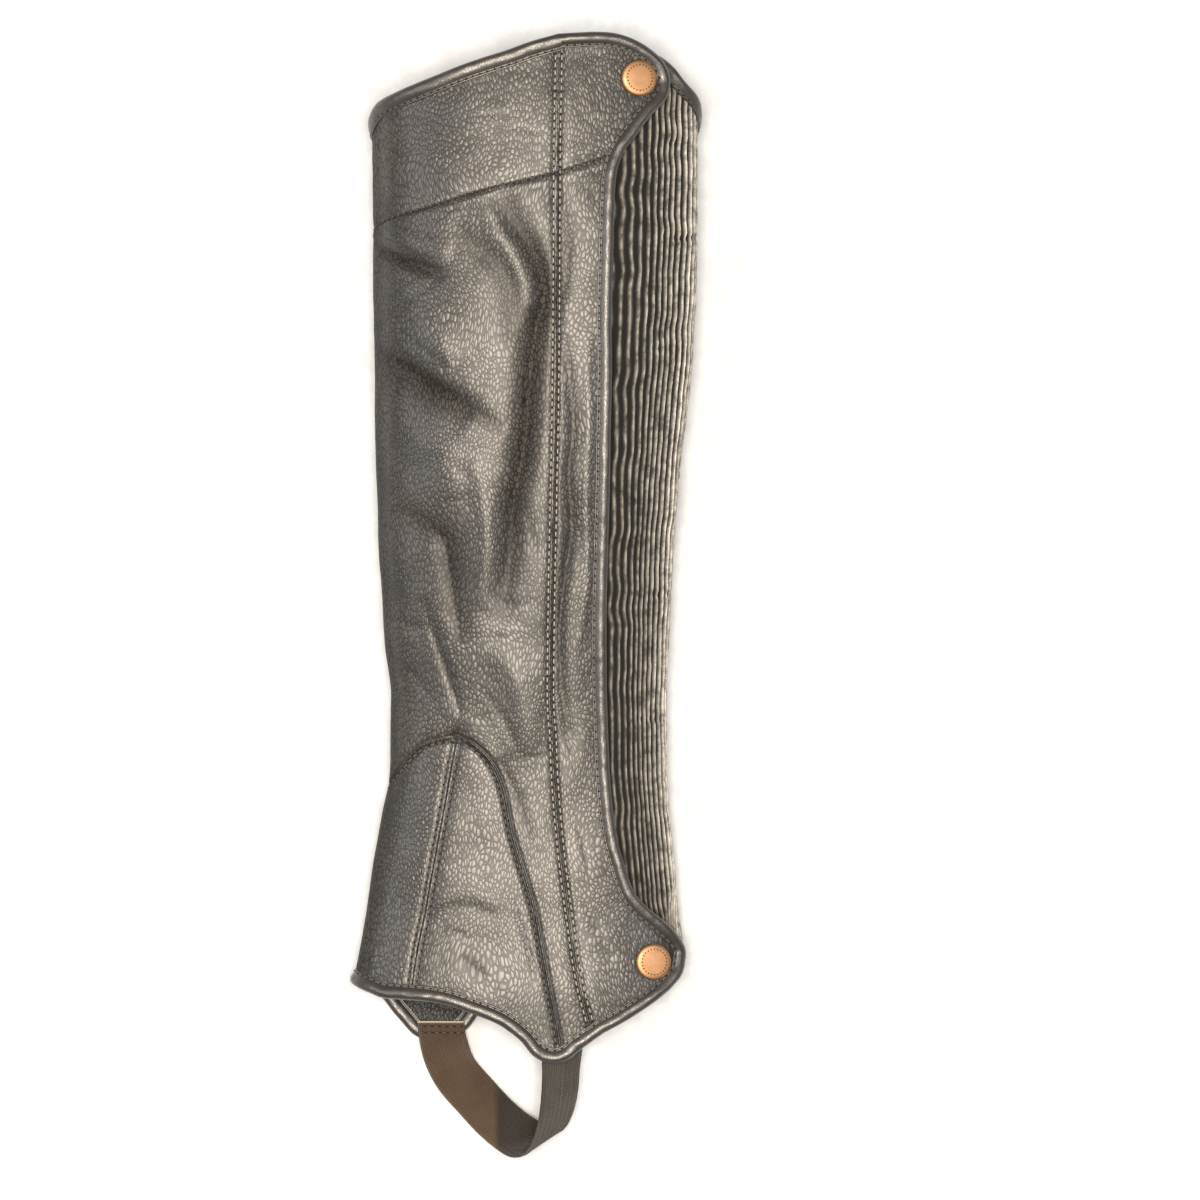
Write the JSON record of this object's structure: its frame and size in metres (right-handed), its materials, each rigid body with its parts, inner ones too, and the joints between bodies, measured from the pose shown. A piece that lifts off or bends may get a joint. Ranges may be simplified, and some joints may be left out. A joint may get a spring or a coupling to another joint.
{
  "type": "half chap",
  "caption": "Hollow leather gaiter for a rider's lower leg, with a ribbed stretch back, snap tabs and an elastic strap under the shoe, lying on its inner side.",
  "frame": {"origin": "middle of the whole chap, on the surface that it lies on", "axes": "+Y towards the knee end, +X towards the calf, -X towards the shin, +Z out of the outer side of the leg, away from the surface"},
  "size_m": [0.1516, 0.4832, 0.0567],
  "materials": {
    "leather": "full-grain, pebbled, satin",
    "ribbed_leather": "gathered into fine ribs, satin",
    "binding": "smooth, satin",
    "zip_tape": "woven tape, matt",
    "elastic": "woven elastic, matt",
    "snap_metal": "copper-coloured, satin"
  },
  "bodies": {
    "root": {"shin_panel": "leather", "rear_strip": "leather", "instep_side": "leather", "instep_front": "leather", "medial_panel": "leather", "back_panel": "ribbed_leather", "top_binding": "binding", "flap_binding": "binding", "bottom_binding": "binding", "back_binding": "binding", "zip": "zip_tape", "stirrup_strap": "elastic", "snap_cap_top": "snap_metal", "snap_cap_bottom": "snap_metal", "snap_stud_top": "snap_metal", "snap_stud_bottom": "snap_metal"}
  },
  "joints": []
}
